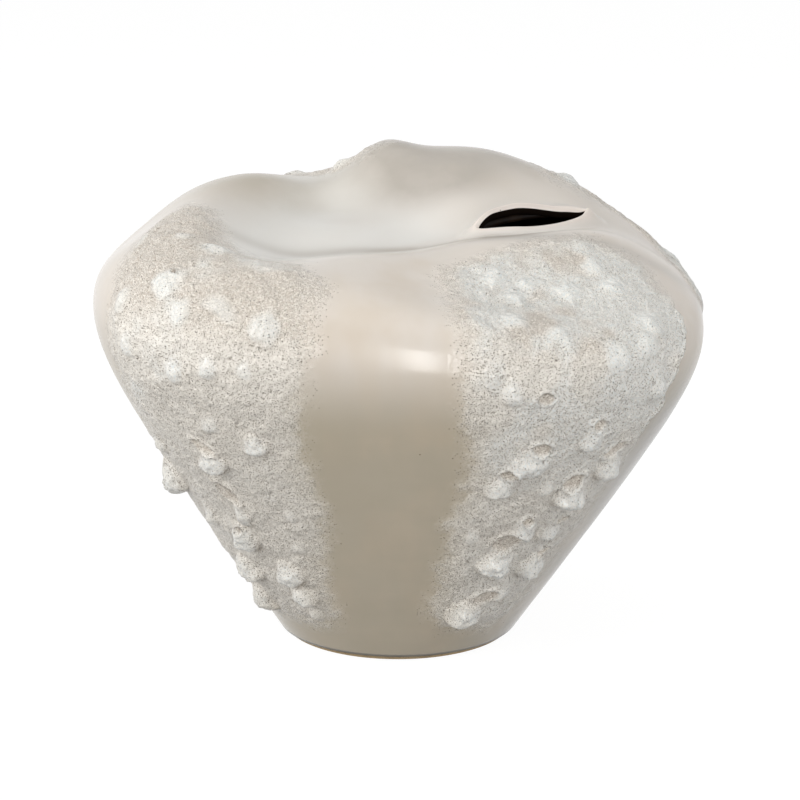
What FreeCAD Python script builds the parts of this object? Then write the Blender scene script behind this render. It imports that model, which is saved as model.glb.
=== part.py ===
import FreeCAD, Part
import math
import os

# A closed, cushion-shaped stoneware vase with a slit mouth, in millimetres.
# The origin is the middle of the foot on the table, +Z is up, and the front looks along -Y.

# Plan of the body at its widest level, the seam between the wall and the top
half_width = 157.2
half_depth = 129.2
plan_power = 2.6
seam_height = 176.5
seam_tilt_share = 0.045

# Wall, from a small round foot to the seam
foot_radius = 54.0
foot_height = 5.0
wall_thickness = 8.0
flare_round_share = 0.18
flare_reach_share = 1.09

# Foot ring and floor
foot_inset = 0.3
foot_ring_width = 12.0
floor_thickness = 8.0

# Closed top
cap_height = 60.4
cap_power = 3.0
form_fade_power = 8.0

# Hollows and lobes pressed into the top
dish_depth = 20.0
front_dish_depth = 15.0
saddle_depth = 9.0
valley_depth = 6.0
hollow_depth = 18.0
step_depth = 4.5
peak_rise = 9.0
back_lobe_rise = 13.0
front_slope_drop = 27.0
right_drop = 7.0
left_drop = 14.0

# Slit mouth and the collar around it
mouth_half_length = 33.5
mouth_half_gap = 6.5
mouth_turn = 31.0
mouth_point_share = 0.6
collar_width = 14.0
lip_thickness = 4.0
front_lip_rise = 2.5
back_lip_rise = 6.5
nub_rise = 2.5
nub_spread = 18.0
lip_wrap_share = 0.8

# Glaze layers
glaze_gap = 0.2
glaze_thickness = 0.6
glaze_foot_line = 1.6
liner_thickness = 0.6
crust_thickness = 1.8
joint_gap = 0.2

# Blisters on the crust
bead_radius = 9.0
bead_height = 4.5
bead_gap = 0.6
crater_radius = 2.6
crater_depth = 1.6

# Samples along the surfaces
round_count = 120
wall_rows = 26
top_rows = 40
collar_rows = 9
nose_rows = 7
patch_rows = 40
patch_columns = 18

# Each swell of the plan: its direction and spread in degrees, and its share of the radius
swell_shares = [
    (180, 40, -0.005),
    (148, 28, -0.05),
    (32, 28, -0.03),
]

# Middle of the mouth as shares of the half width and half depth
mouth_shares = (0.445, 0.07)

# Each form of the top: its middle and its reach as shares of the half width and half depth,
# then its turn in degrees and its sharpness
dish_shares = (-0.18, -0.025, 0.38, 0.38, 0, 2.0)
front_dish_shares = (-0.42, -0.4, 0.23, 0.25, 0, 1.0)
saddle_shares = (-0.27, 0.46, 0.165, 0.31, 10, 1.0)
valley_shares = (0.95, 0.155, 0.285, 0.155, 0, 1.0)
hollow_shares = (0.42, 0.06, 0.305, 0.17, 28, 1.0)
step_shares = (0.23, 0.235, 0.155, 0.105, 15, 1.0)
peak_shares = (-0.05, 0.62, 0.115, 0.28, 0, 1.0)
back_lobe_shares = (0.27, 0.6, 0.35, 0.31, 0, 1.0)
front_slope_shares = (0.41, -0.62, 0.635, 0.465, 0, 1.0)
right_shares = (0.985, 0, 0.255, 1.24, 0, 1.0)
left_shares = (-0.93, 0.155, 0.165, 0.385, 0, 1.0)
top_forms = [
    (dish_shares, -dish_depth),
    (front_dish_shares, -front_dish_depth),
    (saddle_shares, -saddle_depth),
    (valley_shares, -valley_depth),
    (hollow_shares, -hollow_depth),
    (step_shares, -step_depth),
    (peak_shares, peak_rise),
    (back_lobe_shares, back_lobe_rise),
    (front_slope_shares, -front_slope_drop),
    (right_shares, -right_drop),
    (left_shares, -left_drop),
]

# Levels run from 0 at the foot to 1 at the seam and 2 at the collar.
# Each patch of crust: its level, and the directions of its two edges there in degrees.
front_left_shares = [
    (0.09, -150, -118),
    (0.16, -161, -114),
    (0.3, -165, -115),
    (0.5, -163, -110),
    (0.7, -156, -112),
    (0.9, -153, -110),
    (1.1, -154, -109),
    (1.3, -165, -112),
    (1.45, -180, -117),
    (1.55, -176, -132),
]
front_right_shares = [
    (0.07, -68, -45),
    (0.15, -76, -39),
    (0.3, -75, -38),
    (0.5, -75, -36),
    (0.7, -73, -35),
    (0.9, -76, -32),
    (1.1, -76, -28),
    (1.3, -81, -27),
    (1.5, -90, -27),
    (1.7, -106, -31),
    (1.88, -97, -55),
]
back_right_shares = [
    (0.08, 12, 56),
    (0.16, -2, 66),
    (0.3, -4, 68),
    (0.5, -2, 67),
    (0.7, -1, 65),
    (0.9, -3, 66),
    (1.1, -6, 68),
    (1.3, -9, 66),
    (1.5, 0, 64),
    (1.7, 23, 63),
    (1.88, 42, 61),
]
back_left_shares = [
    (0.09, 126, 150),
    (0.16, 116, 160),
    (0.3, 113, 164),
    (0.5, 116, 165),
    (0.7, 118, 163),
    (0.9, 115, 161),
    (1.1, 111, 153),
    (1.3, 110, 143),
    (1.5, 111, 134),
    (1.68, 116, 129),
]

# Each blister: its direction in degrees, its level and its share of the full blister's size
left_bead_shares = [
    (-134, 0.64, 1.0), (-122, 0.72, 0.75), (-155, 0.52, 1.1), (-134, 0.52, 0.8),
    (-136, 0.38, 1.1), (-144, 0.24, 1.0), (-126, 0.27, 1.0), (-147, 0.13, 0.7),
    (-124, 0.2, 0.8), (-119, 0.5, 0.45), (-148, 0.66, 0.6), (-120, 0.38, 0.5),
    (-142, 1.24, 1.0), (-135, 1.09, 0.7), (-119, 1.14, 0.8), (-128, 0.94, 0.8),
]
right_bead_shares = [
    (-60, 0.34, 1.2), (-65, 0.16, 1.0), (-46, 0.58, 1.0), (-40, 0.67, 0.8),
    (-59, 0.72, 0.8), (-65, 0.62, 0.75), (-55, 0.5, 0.6), (-46, 0.33, 0.7),
    (-47, 0.45, 0.8), (-48, 0.79, 0.8), (-60, 0.92, 0.6), (-53, 0.22, 0.6),
    (-73, 1.5, 0.8), (-45, 1.5, 0.6), (-37, 1.27, 0.8), (-69, 1.3, 0.8),
]
back_right_bead_shares = [
    (10, 0.3, 1.0), (24, 0.42, 1.1), (40, 0.3, 0.9), (55, 0.45, 1.0),
    (8, 0.58, 0.8), (33, 0.62, 0.9), (50, 0.7, 0.7), (18, 0.78, 0.8),
    (45, 0.14, 0.8), (30, 0.2, 0.7), (20, 1.15, 0.9), (45, 1.25, 0.8),
]
back_left_bead_shares = [
    (126, 0.3, 1.0), (140, 0.42, 1.1), (155, 0.32, 0.9), (124, 0.6, 0.9),
    (146, 0.64, 0.8), (134, 0.76, 0.8), (135, 0.18, 0.8), (152, 0.82, 0.7),
    (129, 1.15, 0.9), (136, 1.02, 0.8),
]


def vector(x, y, z):
    return FreeCAD.Vector(x, y, z)


def turned_gap(one, other):
    """Angle from one direction to another, the short way round."""
    return math.atan2(math.sin(one - other), math.cos(one - other))


def outline(angle, grow):
    """Radius of the plan at its widest level, for a layer that stands out by grow."""
    across = abs(math.cos(angle) / half_width) ** plan_power
    along = abs(math.sin(angle) / half_depth) ** plan_power
    radius = (across + along) ** (-1 / plan_power)
    for direction, spread, share in swell_shares:
        away = turned_gap(angle, math.radians(direction)) / math.radians(spread)
        radius = radius * (1 + share * math.exp(-away * away))
    return radius + grow


def seam_level(x):
    """Height of the tilted plane of the seam."""
    return seam_height - seam_tilt_share * x


def wall_at_height(angle, height, grow):
    """Point of a wall layer at a height above the table."""
    rim = outline(angle, grow)
    rim_height = seam_level(rim * math.cos(angle))
    below = flare_reach_share * (1 - height / rim_height)
    flare = 1 + flare_round_share - math.hypot(flare_round_share, below)
    inner = foot_radius + grow
    radius = inner + (rim - inner) * flare
    return vector(radius * math.cos(angle), radius * math.sin(angle), height)


def wall_point(angle, level, grow, low=foot_height):
    """Point of a wall layer, from level 0 at its low edge to level 1 at the seam."""
    rim = outline(angle, grow)
    rim_height = seam_level(rim * math.cos(angle))
    return wall_at_height(angle, low + (rim_height - low) * level, grow)


def form_height(x, y, shares):
    """Unit height of a form that is pressed into or out of the top."""
    middle_x, middle_y, reach_x, reach_y, turn, sharpness = shares
    dx = x - middle_x * half_width
    dy = y - middle_y * half_depth
    cosine = math.cos(math.radians(turn))
    sine = math.sin(math.radians(turn))
    across = (dx * cosine + dy * sine) / (reach_x * half_width)
    along = (dy * cosine - dx * sine) / (reach_y * half_depth)
    return math.exp(-((across * across + along * along) ** sharpness))


def top_height(x, y, grow):
    """Height of a layer of the top above a place in the plan."""
    reach = min(1, math.hypot(x, y) / outline(math.atan2(y, x), grow))
    height = seam_level(x) + (cap_height + grow) * math.sqrt(1 - reach ** cap_power)
    fade = 1 - reach ** form_fade_power
    for shares, rise in top_forms:
        height = height + rise * fade * form_height(x, y, shares)
    return height


def slit_place(angle, spread):
    """Place in the plan on the mouth's outline, let out by spread."""
    sine = math.sin(angle)
    along = (mouth_half_length + spread) * math.cos(angle)
    half_gap = mouth_half_gap * (mouth_point_share + (1 - mouth_point_share) * sine * sine)
    across = (half_gap + spread) * sine
    turn = math.radians(mouth_turn)
    x = mouth_shares[0] * half_width + along * math.cos(turn) - across * math.sin(turn)
    y = mouth_shares[1] * half_depth + along * math.sin(turn) + across * math.cos(turn)
    return x, y


def top_point(angle, level, grow):
    """Point of a layer of the top, from level 0 at the seam to level 1 at the collar."""
    near_x, near_y = slit_place(angle, collar_width)
    rim = outline(angle, grow)
    reach = math.cos(level * math.pi / 2)
    x = near_x + (rim * math.cos(angle) - near_x) * reach
    y = near_y + (rim * math.sin(angle) - near_y) * reach
    height = top_height(x, y, grow) if level > 0 else seam_level(x)
    return vector(x, y, height)


def skin_point(angle, level, grow):
    """Point of a layer on the wall, up to level 1, or on the top, up to level 2."""
    if level <= 1:
        return wall_point(angle, level, grow)
    return top_point(angle, level - 1, grow)


def lip_rise(angle):
    """How far the mouth's lip stands up, with a nub where the lips meet on the right."""
    middle = (front_lip_rise + back_lip_rise) / 2
    half_swing = (back_lip_rise - front_lip_rise) / 2
    away = turned_gap(angle, 0) / math.radians(nub_spread)
    return middle + half_swing * math.sin(angle) + nub_rise * math.exp(-away * away)


def collar_point(angle, share, drop, outset=0):
    """Point of the collar, from share 0 at its outer edge to share 1 at the mouth."""
    far_x, far_y = slit_place(angle, collar_width + outset)
    near_x, near_y = slit_place(angle, 0)
    x = far_x + (near_x - far_x) * share
    y = far_y + (near_y - far_y) * share
    ease = share * share * (3 - 2 * share)
    return vector(x, y, top_height(x, y, 0) + lip_rise(angle) * ease - drop)


def interpolated(points, closed):
    """Poles, knots and multiplicities of the smooth curve through evenly spaced points."""
    spans = len(points) if closed else len(points) - 1
    curve = Part.BSplineCurve()
    curve.interpolate(Points=points, PeriodicFlag=closed, Parameters=[float(i) for i in range(spans + 1)])
    return curve.getPoles(), curve.getKnots(), curve.getMultiplicities()


def spline_surface(rows, closed):
    """Smooth surface through rows of points that run round the vase, or across a patch."""
    along = [interpolated(row, closed) for row in rows]
    row_knots, row_mults = along[0][1:]
    columns = list(zip(*[poles for poles, knots, mults in along]))
    surface = Part.BSplineSurface()
    if len(rows) == 2:
        surface.buildFromPolesMultsKnots(
            [list(column) for column in columns],
            row_mults, [2, 2], row_knots, [0.0, 1.0], closed, False, 3, 1)
        return surface
    across = [interpolated(list(column), False) for column in columns]
    column_knots, column_mults = across[0][1:]
    surface.buildFromPolesMultsKnots(
        [poles for poles, knots, mults in across],
        row_mults, column_mults, row_knots, column_knots, closed, False, 3, 3)
    return surface


def rounds(point, levels, *layer):
    """Closed rows of points round the vase, one for each level."""
    angles = [2 * math.pi * step / round_count for step in range(round_count)]
    return [[point(angle, level, *layer) for angle in angles] for level in levels]


def even(count):
    return [step / (count - 1) for step in range(count)]


def edge_wire(surface, last):
    """The closed low or high edge of a surface that runs round the vase."""
    first_u, last_u, first_v, last_v = surface.bounds()
    return Part.Wire([surface.vIso(last_v if last else first_v).toShape()])


def flat_ring(outer_wire, inner_wire):
    return Part.makeFace([outer_wire, inner_wire], "Part::FaceMakerBullseye")


def flat_disc(wire):
    return Part.makeFace([wire], "Part::FaceMakerSimple")


def closed_solid(faces):
    """Solid inside faces that meet at their edges."""
    shell = Part.makeShell(faces)
    shell.sewShape()
    solid = Part.makeSolid(Part.Shell(shell.Faces))
    if solid.Volume < 0:
        solid.reverse()
    return solid


def foot_point(angle, share, grow):
    return wall_at_height(angle, foot_height * share, grow)


def foot_ring():
    """Bare clay ring that the vase stands on."""
    side = spline_surface(rounds(foot_point, even(2), -foot_inset), True)
    circles = []
    for height in (0, foot_height):
        circle = Part.Circle(vector(0, 0, height), vector(0, 0, 1), foot_radius - foot_ring_width)
        circles.append(Part.Wire([circle.toShape()]))
    bore = Part.makeLoft(circles, False, True).Faces
    low = flat_ring(edge_wire(side, False), circles[0])
    high = flat_ring(edge_wire(side, True), circles[1])
    return closed_solid([side.toShape(), low, high] + bore)


def floor_point(angle, share, grow):
    return wall_at_height(angle, foot_height + floor_thickness * share, grow)


def floor_disc():
    """Flat clay floor inside the lower wall, on the foot ring."""
    side = spline_surface(rounds(floor_point, even(4), -wall_thickness - joint_gap), True)
    faces = [side.toShape(), flat_disc(edge_wire(side, False)), flat_disc(edge_wire(side, True))]
    return closed_solid(faces)


def layered_ring(outer, inner):
    """Solid between two surfaces round the vase whose edges lie in the same flat planes."""
    low = flat_ring(edge_wire(outer, False), edge_wire(inner, False))
    high = flat_ring(edge_wire(outer, True), edge_wire(inner, True))
    return closed_solid([outer.toShape(), inner.toShape(), low, high])


def wall_layer(grow, thickness, low):
    """Layer of the wall from a low height up to the seam."""
    levels = even(wall_rows)
    outer = spline_surface(rounds(wall_point, levels, grow, low), True)
    inner = spline_surface(rounds(wall_point, levels, grow - thickness, low), True)
    return layered_ring(outer, inner)


def bowl_wall():
    return wall_layer(0, wall_thickness, foot_height)


def wall_glaze():
    """Satin coat on the outside of the wall and the foot, down to a line just above the table."""
    return wall_layer(glaze_gap + glaze_thickness, glaze_thickness, glaze_foot_line)


def bowl_liner():
    """Glaze that lines the floor and the inside of the wall."""
    low = foot_height + floor_thickness + glaze_gap
    grow = -wall_thickness - glaze_gap
    levels = even(wall_rows)
    outer = spline_surface(rounds(wall_point, levels, grow, low), True)
    inner_rows = rounds(wall_point, levels, grow - liner_thickness, low + liner_thickness)
    inner = spline_surface(inner_rows, True)
    rim = flat_ring(edge_wire(outer, True), edge_wire(inner, True))
    under = flat_disc(edge_wire(outer, False))
    over = flat_disc(edge_wire(inner, False))
    return closed_solid([outer.toShape(), inner.toShape(), rim, under, over])


def top_layer(grow, thickness):
    """Layer of the closed top from the seam to the collar."""
    levels = even(top_rows)
    outer_rows = rounds(top_point, levels, grow)
    inner_rows = rounds(top_point, levels, grow - thickness)
    outer = spline_surface(outer_rows, True)
    inner = spline_surface(inner_rows, True)
    cut = spline_surface([outer_rows[-1], inner_rows[-1]], True)
    seam = flat_ring(edge_wire(outer, False), edge_wire(inner, False))
    return closed_solid([outer.toShape(), inner.toShape(), cut.toShape(), seam])


def cushion_top():
    return top_layer(0, wall_thickness)


def top_glaze():
    return top_layer(glaze_gap + glaze_thickness, glaze_thickness)


def top_liner():
    return top_layer(-wall_thickness - glaze_gap, liner_thickness)


def lip_path(angle, level, lift, wrap_share):
    """Point on the way over the collar and round the lip's nose, lifted off the clay."""
    over = collar_rows - 1
    nose_share = 1 - lip_thickness / 2 / collar_width
    if level <= over:
        return collar_point(angle, nose_share * level / over, -lift, -joint_gap)
    radius = lip_thickness / 2 + lift
    turn = math.pi * wrap_share * (level - over) / (nose_rows - 1)
    share = nose_share + radius * math.sin(turn) / collar_width
    return collar_point(angle, share, lip_thickness / 2 - radius * math.cos(turn), -joint_gap)


def collar_section(angle, level):
    """Point round the collar's section: over the top, round the lip and back below."""
    start = collar_rows + nose_rows - 2
    if level <= start:
        return lip_path(angle, level, 0, 1)
    nose_share = 1 - lip_thickness / 2 / collar_width
    back_share = (level - start) / (collar_rows - 1)
    ease = back_share * back_share * (3 - 2 * back_share)
    drop = lip_thickness + (wall_thickness - lip_thickness) * ease
    return collar_point(angle, nose_share * (1 - back_share), drop, -joint_gap)


def mouth_collar():
    """Pinched clay collar with the two lips of the slit."""
    rows = rounds(collar_section, range(2 * collar_rows + nose_rows - 2))
    skin = spline_surface(rows, True)
    edge = spline_surface([rows[-1], rows[0]], True)
    return closed_solid([skin.toShape(), edge.toShape()])


def lip_glaze():
    """Satin coat over the collar that wraps round the lips into the slit."""
    levels = range(collar_rows + nose_rows - 1)
    outer_rows = rounds(lip_path, levels, glaze_gap + glaze_thickness, lip_wrap_share)
    inner_rows = rounds(lip_path, levels, glaze_gap, lip_wrap_share)
    pairs = [outer_rows, inner_rows]
    pairs = pairs + [[outer_rows[end], inner_rows[end]] for end in (0, -1)]
    return closed_solid([spline_surface(rows, True).toShape() for rows in pairs])


def station_angles(shares, level):
    """Directions of a patch's two edges at a level, smoothly between its stations."""
    last = len(shares) - 2
    index = max(i for i in range(last + 1) if i == 0 or shares[i][0] <= level)
    before, start = shares[max(index - 1, 0)], shares[index]
    end, after = shares[index + 1], shares[min(index + 2, last + 1)]
    t = (level - start[0]) / (end[0] - start[0])
    edges = []
    for column in (1, 2):
        lean_in = (end[column] - before[column]) / (end[0] - before[0]) * (end[0] - start[0])
        lean_out = (after[column] - start[column]) / (after[0] - start[0]) * (end[0] - start[0])
        value = (2 * t ** 3 - 3 * t ** 2 + 1) * start[column] + (3 * t ** 2 - 2 * t ** 3) * end[column]
        value = value + (t ** 3 - 2 * t ** 2 + t) * lean_in + (t ** 3 - t ** 2) * lean_out
        edges.append(math.radians(value))
    return edges


def patch_grid(shares, grow):
    """Rows of points over a patch of crust."""
    low, high = shares[0][0], shares[-1][0]
    rows = []
    for step in even(patch_rows):
        level = low + (high - low) * step
        first, last = station_angles(shares, level)
        rows.append([skin_point(first + (last - first) * s, level, grow) for s in even(patch_columns)])
    return rows


def crust_patch(shares):
    """Patch of foamed glaze that lies on the satin coat."""
    base = glaze_thickness + 2 * glaze_gap
    lower = patch_grid(shares, base)
    upper = patch_grid(shares, base + crust_thickness)
    sides = [
        (lower[0], upper[0]),
        (lower[-1], upper[-1]),
        ([row[0] for row in lower], [row[0] for row in upper]),
        ([row[-1] for row in lower], [row[-1] for row in upper]),
    ]
    faces = [spline_surface(grid, False).toShape() for grid in (lower, upper)]
    faces = faces + [spline_surface(list(side), False).toShape() for side in sides]
    return closed_solid(faces)


def skin_normal(angle, level, grow):
    """Outward direction of a layer at a place."""
    step = 1 / patch_rows
    across = skin_point(angle + step, level, grow) - skin_point(angle - step, level, grow)
    upward = skin_point(angle, level + step, grow) - skin_point(angle, level - step, grow)
    normal = across.cross(upward)
    normal.normalize()
    return normal


def bead(size_share):
    """Blister of glaze with a burst crater in its top, standing on the plan's origin."""
    radius, height = bead_radius * size_share, bead_height * size_share
    rim, depth = crater_radius * size_share, crater_depth * size_share
    foot = vector(radius, 0, 0)
    shoulder = vector(radius * math.cos(math.pi / 4), 0, height * math.sin(math.pi / 4))
    lip = vector(rim, 0, height)
    flank = Part.BSplineCurve()
    flank.interpolate([foot, shoulder, lip])
    pit = Part.LineSegment(lip, vector(0, 0, height - depth))
    axis = Part.LineSegment(vector(0, 0, height - depth), vector(0, 0, 0))
    base = Part.LineSegment(vector(0, 0, 0), foot)
    outline_wire = Part.Wire([flank.toShape(), pit.toShape(), axis.toShape(), base.toShape()])
    turned = Part.Face(outline_wire).revolve(vector(0, 0, 0), vector(0, 0, 1), 360)
    return Part.makeSolid(turned.Shells[0]) if turned.ShapeType != "Solid" else turned


def bead_group(places):
    """Blisters of one patch, each set square on the crust."""
    beads = []
    base = glaze_thickness + 2 * glaze_gap + crust_thickness
    for direction, level, size_share in places:
        angle = math.radians(direction)
        normal = skin_normal(angle, level, base)
        place = skin_point(angle, level, base) + normal * (bead_gap * size_share)
        blister = bead(size_share)
        blister.Placement = FreeCAD.Placement(place, FreeCAD.Rotation(vector(0, 0, 1), normal))
        beads.append(blister)
    return Part.makeCompound(beads)


def main():
    os.makedirs("parts", exist_ok=True)
    pieces = {
        "foot_ring": foot_ring(),
        "floor_disc": floor_disc(),
        "bowl_wall": bowl_wall(),
        "cushion_top": cushion_top(),
        "mouth_collar": mouth_collar(),
        "wall_glaze": wall_glaze(),
        "top_glaze": top_glaze(),
        "lip_glaze": lip_glaze(),
        "bowl_liner": bowl_liner(),
        "top_liner": top_liner(),
        "crust_front_left": crust_patch(front_left_shares),
        "crust_front_right": crust_patch(front_right_shares),
        "crust_back_right": crust_patch(back_right_shares),
        "crust_back_left": crust_patch(back_left_shares),
        "blisters_front_left": bead_group(left_bead_shares),
        "blisters_front_right": bead_group(right_bead_shares),
        "blisters_back_right": bead_group(back_right_bead_shares),
        "blisters_back_left": bead_group(back_left_bead_shares),
    }
    for name, shape in pieces.items():
        shape.exportStep("parts/" + name + ".step")
        box = shape.BoundBox
        print(name, shape.isValid(), len(shape.Solids), round(shape.Volume),
              [round(v, 1) for v in (box.XMin, box.XMax, box.YMin, box.YMax, box.ZMin, box.ZMax)])


main()
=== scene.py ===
import math
from itertools import product

import bpy
import numpy as np
from bpy.props import FloatProperty, FloatVectorProperty, IntProperty, PointerProperty
from bpy.types import Operator, Panel, PropertyGroup
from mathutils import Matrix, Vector


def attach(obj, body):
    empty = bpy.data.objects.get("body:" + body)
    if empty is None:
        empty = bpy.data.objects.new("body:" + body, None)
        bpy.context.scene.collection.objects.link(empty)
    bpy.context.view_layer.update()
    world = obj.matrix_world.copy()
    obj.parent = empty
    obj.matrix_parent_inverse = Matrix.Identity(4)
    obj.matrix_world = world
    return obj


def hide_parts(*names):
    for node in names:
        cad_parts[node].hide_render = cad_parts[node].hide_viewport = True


bl_info = {
    "name": "Pillow Vase",
    "version": (1, 0, 0),
    "blender": (4, 5, 0),
    "location": "View3D > Sidebar > Vase",
    "description": "Glazes a cushion-shaped stoneware vase and sets it in a plain studio",
    "category": "Object",
}

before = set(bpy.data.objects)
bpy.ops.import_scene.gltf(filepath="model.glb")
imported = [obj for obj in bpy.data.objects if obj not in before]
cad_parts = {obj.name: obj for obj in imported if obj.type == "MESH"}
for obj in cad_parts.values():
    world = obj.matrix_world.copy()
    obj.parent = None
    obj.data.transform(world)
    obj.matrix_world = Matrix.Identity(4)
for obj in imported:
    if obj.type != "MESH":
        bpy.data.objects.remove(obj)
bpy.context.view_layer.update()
millimetre = 0.001

# Each swell of the plan: its direction and spread in degrees, and its share of the radius
swell_shares = [(180, 40, -0.005), (148, 28, -0.05), (32, 28, -0.03)]

# Each form of the top: its middle and its reach as shares of the half width and half depth,
# its turn in degrees, its sharpness, the property that holds its height, and 1 for a rise or
# -1 for a hollow
top_forms = [
    ((-0.18, -0.025, 0.38, 0.38, 0, 2.0), "dish_depth", -1),
    ((-0.42, -0.4, 0.23, 0.25, 0, 1.0), "front_dish_depth", -1),
    ((-0.27, 0.46, 0.165, 0.31, 10, 1.0), "saddle_depth", -1),
    ((0.95, 0.155, 0.285, 0.155, 0, 1.0), "valley_depth", -1),
    ((0.42, 0.06, 0.305, 0.17, 28, 1.0), "hollow_depth", -1),
    ((0.23, 0.235, 0.155, 0.105, 15, 1.0), "step_depth", -1),
    ((-0.05, 0.62, 0.115, 0.28, 0, 1.0), "peak_rise", 1),
    ((0.27, 0.6, 0.35, 0.31, 0, 1.0), "back_lobe_rise", 1),
    ((0.41, -0.62, 0.635, 0.465, 0, 1.0), "front_slope_drop", -1),
    ((0.985, 0, 0.255, 1.24, 0, 1.0), "right_drop", -1),
    ((-0.93, 0.155, 0.165, 0.385, 0, 1.0), "left_drop", -1),
]

# How fully the glaze pools in the hollows that it runs into, where its paler colour also paints a
# reflection of the bright sky
pooling_and_sheen = {"dish_depth": 1, "front_dish_depth": 1, "saddle_depth": 1, "hollow_depth": 0.7}

# Places of painted shade on the top's satin coat, the last a thin painted shadow line along the front
# crest; laid out as the forms above
painted_shade_places = [
    (0.16, 0.29, 0.2, 0.12, 12, 1.0),
    (-0.02, 0.55, 0.16, 0.3, 0, 1.0),
    (0.3, 0.62, 0.36, 0.26, 0, 1.0),
    (0.2, -0.205, 0.75, 0.05, 4, 1.0),
]

# Place on the lobe at the left where the thin coat shows ochre, laid out as a form above
ochre_place = (-0.57, 0.46, 0.32, 0.36, 0, 1.0)

# Direction and spread in degrees of the painted shade that greys the wall below the right shoulder
painted_shade_direction, painted_shade_spread = -16, 24

# Widths in metres of the unevenness of the foam: its swells, its lumps, the roughness of its
# blisters, the wander of their outlines, and the clouds of frost
swell_width, lump_width, rough_width, wander_width, cloud_width = 0.015, 0.005, 0.0035, 0.007, 0.022

# Distances in metres from one common pit to the next, and from one large pit to the next
pit_pitch, large_pit_pitch = 0.0042, 0.011

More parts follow.
